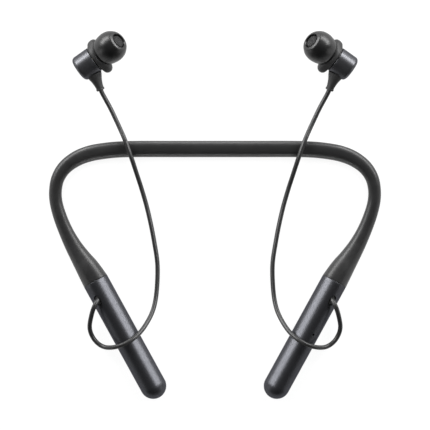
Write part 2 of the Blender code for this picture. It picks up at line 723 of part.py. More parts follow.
def build_driver(name, looks, ear):
    """The sound driver behind the seam: basket, magnet and diaphragm."""
    tilt = housing_tilt()
    basket = (
        (-0.4, 4.58), (-0.4, 4.2), (-2.3, 4.05), (-2.3, 1.2),
        (-2.8, 1.2), (-2.8, 3.9), (-2.2, 4.58),
    )
    place(f"{name}_driver_basket", turned(basket, 14, closed=True), looks["steel"], ear, tilt)
    place(f"{name}_driver_magnet", rod(-2.1, -1.3, 2.7, 12), looks["magnet"], ear, tilt)
    diaphragm = ((-0.75, 0.0), (-1.05, 2.1), (-0.9, 3.85), (-0.7, 3.85), (-0.8, 2.1), (-0.5, 0.0))
    place(f"{name}_driver_diaphragm", turned(diaphragm, 14), looks["film"], ear, tilt)


def build_front(name, side, looks, ear):
    """The front shell with its angled nozzle, the mesh over the nozzle and the ear wing."""
    outer = (
        (0.15, 5.4), (0.4, 5.4), (0.45, 5.2), (2.0, 5.15), (2.9, 4.6), (3.8, 3.6), (4.6, 2.95),
        (5.0, NOZZLE_RADIUS), (13.0, NOZZLE_RADIUS), (13.2, 2.92), (13.9, 2.92), (NOZZLE_END, 2.6),
    )
    inner = ((NOZZLE_END, NOZZLE_BORE), (4.6, NOZZLE_BORE), (3.3, 3.4), (2.0, 4.3), (0.15, 4.6))
    rings = [bent_ring(d, r, 14) for d, r in outer + inner]
    place(f"{name}_front_shell", skin(rings, closed=True), looks["shell_plastic"], ear)
    mesh = turned(((0.2, 0.0), (0.2, 2.55), (0.5, 2.45), (0.6, 0.0)), 14)
    place(f"{name}_nozzle_mesh", mesh, looks["steel"], ear, axis_matrix(NOZZLE_END))
    wing = skin(wing_sections(), closed=True)
    place(f"{name}_ear_wing", mirrored(wing, side), looks["silicone"], ear, housing_tilt())


def wing_sections():
    """Sections of the ear wing round the housing's axis: a sleeve with a nub and, by the cord, a lobe."""
    sections = []
    count = 20
    for i in range(count):
        turn = math.tau * i / count
        cordward = -math.cos(turn)
        front = WING_FRONT - WING_RISE * max(math.sin(turn), 0.0) ** 1.3
        section = [(front, 5.05), (min(2.0, front - 0.3), WING_INNER), (WING_BACK, WING_INNER)]
        for k in range(8):
            x = WING_BACK + (front - WING_BACK) * k / 7
            section.append((x, wing_radius(x, front, cordward)))
        sections.append([Vector((x, r * math.cos(turn), r * math.sin(turn))) for x, r in section])
    return sections


def wing_radius(x, front, cordward):
    """Outer radius of the ear wing; cordward is 1 on the side of the cord and -1 opposite."""
    edge = min(1.0, (x - WING_BACK + 0.12) / 0.6, (front - x + 0.25) / 1.6)
    radius = 5.3 + 0.65 * math.sin(math.pi / 2 * edge)
    for side, centre, half, height in ((1, 2.4, 2.2, 2.3), (-1, 3.1, 2.3, 1.4)):
        bulge = max(0.0, 1.0 - ((x - centre) / half) ** 2) ** 0.5
        radius += height * max(side * cordward, 0.0) ** 8 * bulge
    return radius


def build_tip(name, looks, ear):
    """The soft ear tip, an umbrella round a core that slides over the nozzle."""
    profile = (
        (0.0, 6.1), (1.4, 6.5), (3.2, 6.7), (5.0, 6.62), (6.4, 6.2), (7.6, 5.5), (8.5, 4.6),
        (TIP_LENGTH, 3.75),
        (TIP_LENGTH + 0.1, 3.4), (8.6, 3.1), (0.7, 3.05), (0.7, 3.7), (6.3, 3.75), (7.0, 4.2), (6.6, 5.0),
        (5.4, 5.9), (3.4, 6.3), (1.4, 6.1), (0.1, 5.75),
    )
    umbrella = turned(profile, 16, closed=True)
    place(f"{name}_ear_tip", umbrella, looks["tip_rubber"], ear, axis_matrix(TIP_SEAT))


# ---------------------------------------------------------------- cords

def build_cord(name, side, looks, ear, world):
    """The free cord, a round tube over its whole route."""
    _, tail, ahead, _, _ = boot_frame()
    flip = Matrix.Diagonal((1.0, -float(side), 1.0, 1.0))
    # The -X earbud's mesh is used as it is and the +X one is mirrored, so y is turned round for +X only.
    end = ear.world @ (flip @ (tail + ahead * (0.35 + GAP)))
    near = ear.world @ (flip @ (tail + ahead * 1.2))
    route = [(side * x, y, z) for x, y, z in CORD_ROUTE] + [tuple(near), tuple(end)]
    length = sum(math.dist(a, b) for a, b in zip(route, route[1:]))
    points = evenly(route, round(length / CORD_STEP))
    curve = bpy.data.curves.new(f"{name}_cord", "CURVE")
    curve.dimensions = "3D"
    curve.bevel_depth = CORD_RADIUS * MM
    curve.bevel_resolution = 2
    curve.use_fill_caps = True
    line = curve.splines.new("POLY")
    line.points.add(len(points) - 1)
    for spot, (x, y, z) in zip(line.points, points):
        spot.co = (x * MM, y * MM, z * MM, 1.0)
    curve.materials.append(looks["cord_rubber"])
    cord = bpy.data.objects.new(f"{name}_cord", curve)
    bpy.context.scene.collection.objects.link(cord)
    cord.parent = world.empty


# ---------------------------------------------------------------- assembly

def pod_world(side):
    """X runs from the seam along the pod, Y is to the left of it and Z is up."""
    slant = math.radians(POD_SLANT)
    x_axis = Vector((-side * math.cos(slant), -math.sin(slant), 0.0))
    y_axis = Vector((0.0, 0.0, 1.0)).cross(x_axis)
    matrix = Matrix((x_axis, y_axis, (0.0, 0.0, 1.0))).transposed().to_4x4()
    matrix.translation = (side * POD_START[0], POD_START[1], POD_HEIGHT)
    return matrix


def ear_world(side):
    """X runs from the housing's seam towards the nozzle in plan, and Z is up."""
    turn = math.radians(EAR_TURN)
    x_axis = Vector((-side * math.cos(turn), math.sin(turn), 0.0))
    y_axis = Vector((0.0, 0.0, 1.0)).cross(x_axis)
    matrix = Matrix((x_axis, y_axis, (0.0, 0.0, 1.0))).transposed().to_4x4()
    matrix.translation = (side * EAR_SEAM[0], EAR_SEAM[1], EAR_SEAM[2])
    return matrix


def main():
    for existing in list(bpy.context.scene.objects):
        bpy.data.objects.remove(existing)
    looks = make_looks()
    world = Frame("neckband", Matrix())
    build_bow(looks, world)
    for name, side in SIDES:
        shoulder = BAND_ROUTE[SHOULDER]
        arm = Frame(f"{name}_arm_pivot", Matrix.Translation((side * shoulder[0], shoulder[1], 0.0)), world)
        pod = Frame(f"{name}_pod_frame", pod_world(side), arm)
        build_arm_sleeve(name, side, looks, arm, pod)
        build_casings(name, side, looks, pod)
        build_pod_mouth(name, side, looks, pod)
        if side < 0:
            build_battery(looks, pod)
        else:
            build_electronics(looks, pod)
            build_controls(looks, pod)
            build_port(looks, pod)
        seam = ear_world(side)
        tail = seam @ Vector((BOOT_TAIL[0], side * BOOT_TAIL[1], BOOT_TAIL[2]))
        pivot = Frame(f"{name}_bud_pivot", Matrix.Translation(tail), world)
        ear = Frame(f"{name}_bud_frame", seam, pivot)
        build_housing(name, side, looks, ear)
        build_boot(name, side, looks, ear)
        build_driver(name, looks, ear)
        build_front(name, side, looks, ear)
        build_tip(name, looks, ear)
        build_cord(name, side, looks, ear, world)


main()
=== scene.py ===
"""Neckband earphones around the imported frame: silicone band, two lacquered pods, two cords and two earbuds.

Shapes are written in millimetres and become metres in add().
"""
import math

import bmesh
import bpy
from mathutils import Matrix, Vector


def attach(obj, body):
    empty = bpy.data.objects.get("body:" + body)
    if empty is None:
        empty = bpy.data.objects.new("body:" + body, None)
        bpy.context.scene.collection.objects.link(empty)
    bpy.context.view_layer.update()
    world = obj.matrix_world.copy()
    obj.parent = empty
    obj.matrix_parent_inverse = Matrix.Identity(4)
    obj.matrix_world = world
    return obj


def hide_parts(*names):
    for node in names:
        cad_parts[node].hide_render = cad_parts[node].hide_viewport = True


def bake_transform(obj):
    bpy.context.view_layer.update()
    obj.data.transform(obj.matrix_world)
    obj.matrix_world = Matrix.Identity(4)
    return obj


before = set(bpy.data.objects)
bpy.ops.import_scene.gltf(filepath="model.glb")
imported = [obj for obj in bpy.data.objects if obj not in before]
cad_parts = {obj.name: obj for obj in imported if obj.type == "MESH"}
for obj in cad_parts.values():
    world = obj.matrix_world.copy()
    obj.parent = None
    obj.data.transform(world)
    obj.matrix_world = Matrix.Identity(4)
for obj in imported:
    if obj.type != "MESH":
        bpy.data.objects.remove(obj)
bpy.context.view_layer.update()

MM = 0.001
SIDES = (("left", -1), ("right", 1))

# ---------------------------------------------------------------- sizes shared with the frame

POD_RADIUS = 5.5
POD_WALL = 0.9
POD_STRAIGHT = 50.3
POD_START = (50.2, -27.7)
POD_SLANT = 61.2
LAND_ANGLE = 11.0
POD_HEIGHT = POD_RADIUS * math.cos(math.radians(LAND_ANGLE))
SEAM_ROUNDING = 0.14
SOCKET_RADIUS = 3.8
SOCKET_DEPTH = 1.5
PARTING = -0.15
PARTING_GAP = 0.2
CUT_FROM = 2.0
PAST = 8.0
CLEARANCE = 0.3

# x, y, half width, half height and the power of the band's section, from the middle to the pod
BAND_ROUTE = (
    (0.0, 27.8, 3.45, 2.75, 2.5),
    (17.0, 27.8, 3.45, 2.75, 2.5),
    (31.7, 27.8, 3.45, 2.75, 2.5),
    (40.1, 27.6, 3.42, 2.75, 2.45),
    (46.5, 27.0, 3.42, 2.75, 2.4),
    (52.8, 25.85, 3.4, 2.75, 2.35),
    (58.4, 23.65, 3.28, 2.72, 2.3),
    (63.15, 20.1, 3.05, 2.7, 2.2),
    (66.1, 15.5, 2.82, 2.7, 2.15),
    (67.15, 10.3, 2.7, 2.7, 2.1),
    (66.85, 5.2, 2.72, 2.75, 2.0),
    (65.25, -0.6, 2.85, 2.9, 2.0),
    (62.8, -6.7, 3.05, 3.1, 2.0),
    (59.8, -12.6, 3.5, 3.5, 2.0),
    (56.45, -18.0, 4.2, 4.2, 2.0),
    (53.45, -22.4, 4.95, 4.95, 2.0),
    (50.2, -27.7, 5.5, 5.5, 2.0),
)
BAND_STEPS = 150
BAND_AROUND = 56
# how far before the seam, and how far in from the section there
BAND_END_ROUNDING = ((0.12, 0.0), (0.06, 0.02), (0.02, 0.07), (0.0, SEAM_ROUNDING))

# places along the pod, measured from its seam, and heights from its axis
EXIT_ALONG = 7.7
EXIT_ROLL = 33.0
SLOT_HALF = (2.3, 1.4)
CONTROL_HEIGHT = -2.05
CONTROL_HALF = 1.25
BUTTON_HALF_LENGTH = 2.5
BUTTONS = (("power", 13.0), ("volume_up", 20.0), ("play", 26.5), ("volume_down", 33.0))
LIGHT_ALONG = 8.0
LIGHT_RADIUS = 0.8
PORT_ALONG = 42.5
PORT_HALF_LENGTH = 4.5
PORT_GAP = 0.5
FLAP_TOP, FLAP_BOTTOM = 1.3, -1.7
MIC_ALONG = 24.0
MIC_RADIUS = 0.5

EAR_SEAM = (50.6, 65.5, 6.5)
EAR_TURN = 35.0
HOUSING_TILT = 8.0
NOZZLE_TILT = 35.0
HOUSING_RADIUS = 5.55
HOUSING_WALL = 0.65
HOUSING_DEPTH = 8.3
TIP_SEAT = 6.04
NOZZLE_RADIUS = 2.75
NOZZLE_BORE = 2.1
NOZZLE_END = 14.3
TIP_LENGTH = 9.0
BOOT_ROOT = (-3.75, 5.0, -0.6)
BOOT_TAIL = (-5.35, 12.2, -2.3)
WING_INNER = 5.5
WING_BACK, WING_FRONT = 0.3, 5.2
WING_RISE = 2.7

# a touch thicker than the frame's own cord, which it covers
CORD_RADIUS = 0.97
CORD_STEPS = 260
CORD_AROUND = 20
CORD_EASING = 6
CORD_ROUTE = (
    (49.25, -35.95, 10.30),
    (49.95, -37.10, 11.00),
    (50.95, -39.30, 10.95),
    (52.05, -43.20, 9.30),
    (52.65, -47.20, 7.20),
    (51.80, -50.50, 5.90),
    (49.80, -53.45, 5.70),
    (46.95, -55.30, 6.80),
    (44.00, -55.60, 8.90),
    (40.80, -55.05, 11.20),
    (37.60, -53.85, 12.50),
    (34.40, -51.85, 12.00),
    (31.20, -49.00, 9.60),
    (28.30, -44.80, 6.00),
    (26.20, -40.40, 3.20),
    (24.95, -35.20, 1.60),
    (24.30, -28.00, 1.00),
    (24.30, -20.00, 0.97),
    (25.50, -12.00, 0.97),
    (26.90, -4.50, 0.97),
    (28.75, 3.50, 1.10),
    (30.90, 11.00, 2.30),
    (32.85, 17.10, 4.40),
    (34.75, 23.00, 6.55),
    (36.35, 27.60, 7.05),
    (37.85, 31.60, 6.50),
    (39.70, 35.80, 4.60),
    (41.85, 40.40, 3.15),
    (43.85, 44.60, 2.75),
    (45.90, 48.40, 3.20),
)

# the picture's width in metres at the height where it is measured, and how near the middle counts as both sides
PICTURE_WIDTH = 430 * 0.42 * MM
FOCUS_HEIGHT = 0.006
CENTRED = 0.001

# ---------------------------------------------------------------- materials


class Nodes:
    """Short hand for building one material's node tree."""

    def __init__(self, name, colour, roughness, **sockets):
        self.material = bpy.data.materials.new(name)
        self.material.use_nodes = True
        self.tree = self.material.node_tree
        self.shader = self.tree.nodes["Principled BSDF"]
        self.shader.inputs["Base Color"].default_value = (*colour, 1.0)
        self.shader.inputs["Roughness"].default_value = roughness
        for socket, value in sockets.items():
            self.shader.inputs[socket.replace("_", " ")].default_value = value
        self.material.diffuse_color = (*colour, 1.0)
        self.place = self.add("ShaderNodeTexCoord").outputs["Object"]

    def add(self, kind, **settings):
        node = self.tree.nodes.new(kind)
        for key, value in settings.items():
            setattr(node, key, value)
        return node

    def link(self, source, target):
        self.tree.links.new(source, target)

    def noise(self, scale, detail=3.0, roughness=0.6):
        node = self.add("ShaderNodeTexNoise")
        node.inputs["Scale"].default_value = scale
        node.inputs["Detail"].default_value = detail
        node.inputs["Roughness"].default_value = roughness
        self.link(self.place, node.inputs["Vector"])
        return node.outputs["Fac"]

    def cells(self, scale, feature="F1"):
        node = self.add("ShaderNodeTexVoronoi", feature=feature)
        node.inputs["Scale"].default_value = scale
        self.link(self.place, node.inputs["Vector"])
        return node.outputs["Distance"]

    def spread(self, value, low, high, start=0.3, end=0.7):
        """The value mapped from start..end onto low..high."""
        node = self.add("ShaderNodeMapRange")
        for socket, number in (("From Min", start), ("From Max", end), ("To Min", low), ("To Max", high)):
            node.inputs[socket].default_value = number
        self.link(value, node.inputs["Value"])
        return node.outputs["Result"]

    def calculate(self, operation, first, second=0.0):
        """One step of arithmetic on values or plain numbers."""
        node = self.add("ShaderNodeMath", operation=operation)
        for value, socket in ((first, node.inputs[0]), (second, node.inputs[1])):
            if isinstance(value, float):
                socket.default_value = value
            else:
                self.link(value, socket)
        return node.outputs[0]

    def tint(self, value, dark, light, start=0.3, end=0.7):
        """Base colour between two colours."""
        ramp = self.add("ShaderNodeValToRGB")
        ramp.color_ramp.elements[0].position = start
        ramp.color_ramp.elements[0].color = (*dark, 1.0)
        ramp.color_ramp.elements[1].position = end
        ramp.color_ramp.elements[1].color = (*light, 1.0)
        self.link(value, ramp.inputs["Fac"])
        self.link(ramp.outputs["Color"], self.shader.inputs["Base Color"])

    def rough(self, value, low, high):
        self.link(self.spread(value, low, high), self.shader.inputs["Roughness"])

    def bump(self, height, depth, strength=1.0):
        """Bump of that depth in metres."""
        node = self.add("ShaderNodeBump")
        node.inputs["Strength"].default_value = strength
        node.inputs["Distance"].default_value = depth
        self.link(height, node.inputs["Height"])
        self.link(node.outputs["Normal"], self.shader.inputs["Normal"])


def silicone(name, shade, roughness, grain=5200.0, depth=0.000012, level=0.5):
    """Soft-touch rubber with a fine moulded grain and faint uneven wear."""
    make = Nodes(name, (shade, shade, shade * 1.02), roughness)
    make.shader.inputs["Specular IOR Level"].default_value = level
    broad = make.noise(55.0, 2.0)
    make.tint(broad, (shade * 0.86, shade * 0.86, shade * 0.88), (shade * 1.16, shade * 1.16, shade * 1.17))
    fine = make.noise(grain, 2.0, 0.7)
    make.rough(make.noise(420.0, 3.0), roughness - 0.05, roughness + 0.06)
    make.bump(fine, depth, 0.6)
    return make.material


def lacquer(name, colour, roughness, metallic):
    """Dark satin pearl paint with tiny flakes; the tint keeps its edges dark."""
    make = Nodes(name, colour, roughness, Metallic=metallic)
    make.shader.inputs["Specular Tint"].default_value = (0.45, 0.45, 0.48, 1.0)
    flakes = make.cells(5200.0)
    lighter = tuple(c * 1.5 for c in colour)
    darker = tuple(c * 0.8 for c in colour)
    make.tint(flakes, darker, lighter, 0.1, 0.75)
    make.rough(make.noise(340.0, 4.0), roughness - 0.012, roughness + 0.018)
    make.bump(make.calculate("ADD", flakes, make.noise(1500.0, 2.0)), 0.0000025, 0.4)
    return make.material


def plastic(name, colour, roughness, grain=2600.0, depth=0.00001):
    """Moulded plastic with a fine spark-eroded texture."""
    make = Nodes(name, colour, roughness)
    make.tint(make.noise(90.0, 2.0), tuple(c * 0.9 for c in colour), tuple(c * 1.12 for c in colour))
    make.rough(make.noise(700.0, 3.0), roughness - 0.05, roughness + 0.07)
    make.bump(make.noise(grain, 3.0), depth, 0.6)
    return make.material


def metal(name, colour, roughness, brushed=(1.0, 1.0, 1.0), depth=0.000004):
    """Bare metal with fine lines, drawn out along the axes with small factors."""
    make = Nodes(name, colour, roughness, Metallic=1.0)
    mapping = make.add("ShaderNodeMapping")
    mapping.inputs["Scale"].default_value = brushed
    make.link(make.place, mapping.inputs["Vector"])
    make.place = mapping.outputs["Vector"]
    lines = make.noise(2400.0, 3.0)
    make.tint(lines, tuple(c * 0.86 for c in colour), colour)
    make.rough(lines, roughness - 0.06, roughness + 0.1)
    make.bump(lines, depth, 0.5)
    return make.material


def gauze(name, pitch):
    """Fine dark woven mesh: holes in rows between raised threads, two to each pitch; the holes are painted near
    black as painted shade behind the mesh.
    """
    make = Nodes(name, (0.02, 0.02, 0.021), 0.5, Metallic=0.35)
    make.shader.inputs["Specular IOR Level"].default_value = 0.25
    parts = make.add("ShaderNodeSeparateXYZ")
    make.link(make.place, parts.inputs["Vector"])
    waves = []
    for axis in ("Y", "Z"):
        turns = make.calculate("MULTIPLY", parts.outputs[axis], math.tau / pitch)
        waves.append(make.calculate("ABSOLUTE", make.calculate("SINE", turns)))
    holes = make.calculate("MINIMUM", waves[0], waves[1])
    # painted shade: the holes are coloured near black for the dark behind the mesh, and the threads dark grey
    make.tint(holes, (0.045, 0.045, 0.046), (0.002, 0.002, 0.002), 0.08, 0.35)
    make.rough(make.noise(900.0), 0.42, 0.6)
    make.bump(holes, -0.00012, 1.0)
    return make.material


def circuit(name):
    """Solder mask with copper tracks showing through."""
    make = Nodes(name, (0.015, 0.09, 0.04), 0.35)
    make.shader.inputs["Coat Weight"].default_value = 0.3
    tracks = make.cells(700.0, "DISTANCE_TO_EDGE")
    make.tint(tracks, (0.05, 0.22, 0.09), (0.012, 0.085, 0.035), 0.03, 0.08)
    make.bump(tracks, 0.00001, 0.4)
    return make.material


LOOKS = {
    "band": silicone("band_silicone", 0.0165, 0.4, level=0.36),
    "cord": silicone("cord_jacket", 0.017, 0.36, 3800.0, 0.000006, 0.36),
    "boot": silicone("boot_rubber", 0.022, 0.5, level=0.35),
    "wing": silicone("wing_rubber", 0.022, 0.5, 4200.0, 0.000008, 0.35),
    "tip": silicone("tip_rubber", 0.008, 0.36, 3800.0, 0.000004),
    "button": silicone("button_rubber", 0.022, 0.5),
    "pod": lacquer("pod_lacquer", (0.05, 0.051, 0.056), 0.39, 0.9),
    "bud": lacquer("bud_lacquer", (0.072, 0.073, 0.078), 0.38, 0.92),
    "shell": plastic("shell_plastic", (0.018, 0.018, 0.019), 0.42),
    "gauze": gauze("nozzle_gauze", 0.0012),
    "steel": metal("plated_steel", (0.56, 0.56, 0.58), 0.3),
    "spring": metal("spring_steel", (0.5, 0.5, 0.5), 0.24),
    "magnet": metal("magnet_plate", (0.42, 0.42, 0.44), 0.2),
    "board": circuit("solder_mask"),
    "switch": plastic("switch_plastic", (0.02, 0.02, 0.02), 0.4),
    "loom": silicone("loom_jacket", 0.1, 0.5),
    "film": plastic("speaker_film", (0.55, 0.45, 0.2), 0.25, 1500.0, 0.000004),
    "cell": plastic("cell_wrap", (0.04, 0.1, 0.3), 0.3, 1200.0, 0.000004),
    "foam": silicone("foam_pad", 0.05, 0.85, 1800.0, 0.00008),
    "guide": plastic("light_guide", (0.3, 0.3, 0.32), 0.2),
}

# ---------------------------------------------------------------- shapes


def skin(rings, closed=False, caps=True):
    """Mesh through rings of equal count, or single points as poles."""
    bm = bmesh.new()
    rows = [[bm.verts.new(point) for point in ring] for ring in rings]
    pairs = list(zip(rows, rows[1:]))
    if closed:
        pairs.append((rows[-1], rows[0]))
    for first, second in pairs:
        count = max(len(first), len(second))
        for i in range(count):
            j = (i + 1) % count
            corners = (
                first[i % len(first)],
                first[j % len(first)],
                second[j % len(second)],
                second[i % len(second)],
            )
            bm.faces.new(list(dict.fromkeys(corners)))
    if caps and not closed:
        for row in (rows[0], rows[-1]):
            if len(row) > 2:
                bm.faces.new(row)
    bmesh.ops.recalc_face_normals(bm, faces=bm.faces)
    return bm


def circle(x, radius, count):
    """Ring round the local X axis, or one point on it."""
    if radius < 1e-6:
        return [Vector((x, 0.0, 0.0))]
    turns = (math.tau * (i + 0.5) / count for i in range(count))
    return [Vector((x, radius * math.cos(t), radius * math.sin(t))) for t in turns]


def turned(profile, count, closed=False):
    """Solid turned round the local X axis from (x, radius) pairs."""
    return skin([circle(x, radius, count) for x, radius in profile], closed)


def rod(start, end, radius, count):
    """Round bar along the local X axis."""
    return turned(((start, 0.0), (start, radius), (end, radius), (end, 0.0)), count)


def upright(bm):
    """Turn a mesh made along X so that it runs along Z."""
    bm.transform(Matrix.Rotation(math.radians(-90), 4, "Y"))
    return bm


def sideways(bm):
    """Turn a mesh made along X so that it runs towards -Y."""
    bm.transform(Matrix.Rotation(math.radians(-90), 4, "Z"))
    return bm


def arc(centre_x, centre_radius, radius, start, end, steps):
    """Arc of a turned profile; 0 points along the radius and 90 along +X."""
    angles = (math.radians(start + (end - start) * i / steps) for i in range(steps + 1))
    return [(centre_x + radius * math.sin(a), centre_radius + radius * math.cos(a)) for a in angles]


def rounded(profile, radius, steps=4, sharpest=20.0):
    """The profile with each corner between two long enough sides rounded off."""
    result = [profile[0]]
    for before, here, after in zip(profile, profile[1:], profile[2:]):
        a = Vector(before) - Vector(here)
        b = Vector(after) - Vector(here)
        reach = min(radius, a.length * 0.45, b.length * 0.45)
        bend = 180.0 - math.degrees(a.angle(b)) if a.length and b.length else 0.0
        if bend < sharpest:
            result.append(here)
            continue
        start = Vector(here) + a.normalized() * reach
        end = Vector(here) + b.normalized() * reach
        for k in range(steps + 1):
            t = k / steps
            point = start * (1 - t) ** 2 + Vector(here) * (2 * t * (1 - t)) + end * t ** 2
            result.append(tuple(point))
    result.append(profile[-1])
    return result


def block(*spans):
    """Boxes, each given as ((x0, x1), (y0, y1), (z0, z1))."""
    bm = bmesh.new()
    sides = ((0, 1, 3, 2), (4, 5, 7, 6), (0, 1, 5, 4), (2, 3, 7, 6), (0, 2, 6, 4), (1, 3, 7, 5))
    for span in spans:
        corners = [bm.verts.new((x, y, z)) for x in span[0] for y in span[1] for z in span[2]]
        for side in sides:
            bm.faces.new([corners[k] for k in side])
    bmesh.ops.recalc_face_normals(bm, faces=bm.faces)
    return bm


def stadium(levels, steps=12):
    """Upright plug with round ends along X, from (height, half length, half width) levels."""
    rings = []
    for height, half_length, half_width in levels:
        straight = half_length - half_width
        ring = []
        for end, shift in ((0, straight), (1, -straight)):
            for i in range(steps + 1):
                turn = math.pi * (end + i / steps) - math.pi / 2
                ring.append(Vector((
                    shift + half_width * math.cos(turn), half_width * math.sin(turn), height)))
        rings.append(ring)
    return skin(rings)


def oval(half_width, half_height, power, count):
    """Section as (across, up) pairs: a rounded oval whose lowest stretch is a flat."""
    points = []
    for i in range(count):
        turn = math.radians(-90 + LAND_ANGLE + (360 - 2 * LAND_ANGLE) * i / (count - 1))
        across, up = math.cos(turn), math.sin(turn)
        points.append((
            math.copysign(half_width * abs(across) ** (2 / power), across),
            math.copysign(half_height * abs(up) ** (2 / power), up),
        ))
    return points


def spline(points, t):
    """Catmull-Rom value through tuples at t = 0 .. len(points) - 1."""
    span = min(int(t), len(points) - 2)
    u = t - span
    before = points[span - 1] if span else tuple(2 * a - b for a, b in zip(points[0], points[1]))
    after = (
        points[span + 2] if span + 2 < len(points)
        else tuple(2 * a - b for a, b in zip(points[-1], points[-2]))
    )
    return tuple(
        0.5 * (2 * b + (c - a) * u + (2 * a - 5 * b + 4 * c - d) * u * u + (3 * b - a - 3 * c + d) * u ** 3)
        for a, b, c, d in zip(before, points[span], points[span + 1], after)
    )


def evenly(points, count, fine=1200):
    """The spline's values at count + 1 places, evenly spaced in their first three numbers."""
    dense = [spline(points, (len(points) - 1) * i / fine) for i in range(fine + 1)]
    lengths = [0.0]
    for first, second in zip(dense, dense[1:]):
        lengths.append(lengths[-1] + math.dist(first[:3], second[:3]))
    found, k = [], 0
    for i in range(count + 1):
        want = lengths[-1] * i / count
        while k < fine - 1 and lengths[k + 1] < want:
            k += 1
        part = (want - lengths[k]) / (lengths[k + 1] - lengths[k])
        found.append(tuple(a + (b - a) * part for a, b in zip(dense[k], dense[k + 1])))
    return found


def eased(points, passes):
    """The points pulled towards the middle of their neighbours, ends kept."""
    for _ in range(passes):
        points = [points[0]] + [
            tuple((a + 2 * b + c) / 4 for a, b, c in zip(*trio))
            for trio in zip(points, points[1:], points[2:])
        ] + [points[-1]]
    return points


# ---------------------------------------------------------------- placing


def add(name, bm, look, matrix=None, smooth_below=35.0):
    """A mesh in millimetres becomes a named object in metres, its vertices in the frame's coordinates."""
    if matrix is not None:
        bm.transform(matrix)
        if matrix.determinant() < 0:
            bmesh.ops.reverse_faces(bm, faces=bm.faces)
    bmesh.ops.scale(bm, vec=(MM, MM, MM), verts=bm.verts)
    mesh = bpy.data.meshes.new(name)
    bm.to_mesh(mesh)
    bm.free()
    mesh.materials.append(LOOKS[look])
    mesh.shade_smooth()
    mesh.set_sharp_from_angle(angle=math.radians(smooth_below))
    piece = bpy.data.objects.new(name, mesh)
    bpy.context.scene.collection.objects.link(piece)
    return piece


def carve(piece, tools, smooth_below=35.0):
    """Cut each (mesh, matrix, operation) into the piece and keep the result as its mesh."""
    helpers = []
    for i, (bm, matrix, operation) in enumerate(tools):
        helper = add(f"{piece.name}_tool_{i}", bm, "shell", matrix)
        modifier = piece.modifiers.new(f"cut_{i}", "BOOLEAN")
        modifier.operation = operation
        modifier.solver = "EXACT"
        modifier.object = helper
        helpers.append(helper)
    graph = bpy.context.evaluated_depsgraph_get()
    result = bpy.data.meshes.new_from_object(piece.evaluated_get(graph))
    piece.modifiers.clear()
    old = piece.data
    piece.data = result
    bpy.data.meshes.remove(old)
    for helper in helpers:
        bpy.data.objects.remove(helper)
    look = result.materials[0]
    result.materials.clear()
    result.materials.append(look)
    result.polygons.foreach_set("material_index", [0] * len(result.polygons))
    result.shade_smooth()
    result.set_sharp_from_angle(angle=math.radians(smooth_below))
    return piece


def stands_for(piece, body, slot, *nodes):
    """The piece rides on the body, in place of these nodes of the frame."""
    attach(piece, body)
    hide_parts(*nodes)


def pod_frame(side):
    """X runs from the seam along the pod, Z is up, in millimetres."""
    slant = math.radians(POD_SLANT)
    x_axis = Vector((-side * math.cos(slant), -math.sin(slant), 0.0))
    y_axis = Vector((0.0, 0.0, 1.0)).cross(x_axis)
    matrix = Matrix((x_axis, y_axis, (0.0, 0.0, 1.0))).transposed().to_4x4()
    matrix.translation = (side * POD_START[0], POD_START[1], POD_HEIGHT)
    return matrix


def ear_frame(side):
    """X runs from the housing's seam towards the nozzle in plan; the +X one is the mirror image."""
    turn = math.radians(EAR_TURN)
    x_axis = Vector((math.cos(turn), math.sin(turn), 0.0))
    y_axis = Vector((0.0, 0.0, 1.0)).cross(x_axis)
    matrix = Matrix((x_axis, y_axis, (0.0, 0.0, 1.0))).transposed().to_4x4()
    matrix.translation = (-EAR_SEAM[0], EAR_SEAM[1], EAR_SEAM[2])
    return Matrix.Diagonal((-float(side), 1.0, 1.0, 1.0)) @ matrix


def exit_frame(side, along=EXIT_ALONG):
    """Matrix in the pod's frame whose Z points out of its upper outer side."""
    return Matrix.Translation((along, 0.0, 0.0)) @ Matrix.Rotation(math.radians(-side * EXIT_ROLL), 4, "X")


# ---------------------------------------------------------------- band


def band_half(name, side):
    """One half of the band, from the middle to the pod, which bends at the shoulder."""
    route = [(x, y, 0.0, w, h, p) for x, y, w, h, p in BAND_ROUTE]
    spots = evenly(route, BAND_STEPS)
    slant = math.radians(POD_SLANT)
    rings = []
    up = Vector((0.0, 0.0, 1.0))
    for i, (x, y, _, half_width, half_height, power) in enumerate(spots):
        low, high = spots[max(i - 1, 0)], spots[min(i + 1, BAND_STEPS)]
        ahead = Vector((high[0] - low[0], high[1] - low[1], 0.0)).normalized()
        if i == 0:
            ahead = Vector((1.0, 0.0, 0.0))
        if i == BAND_STEPS:
            ahead = Vector((-math.cos(slant), -math.sin(slant), 0.0))
        across = up.cross(ahead)
        lift = half_height * math.sin(math.radians(90 - LAND_ANGLE)) ** (2 / power)
        centre = Vector((x, y, lift))
        if i < BAND_STEPS:
            rings.append([
                centre + across * a + up * b
                for a, b in oval(half_width, half_height, power, BAND_AROUND)
            ])
            continue
        for back, inset in BAND_END_ROUNDING:
            middle = centre - ahead * back
            rings.append([
                middle + across * a + up * b
                for a, b in oval(half_width - inset, half_height - inset, power, BAND_AROUND)
            ])
    mirror = Matrix.Diagonal((float(side), 1.0, 1.0, 1.0))
    piece = add(f"{name}_band_skin", skin(rings), "band", mirror, 50.0)
    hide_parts("neckband_bow", f"{name}_arm_sleeve")
    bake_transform(piece)
    return piece


# ---------------------------------------------------------------- pods


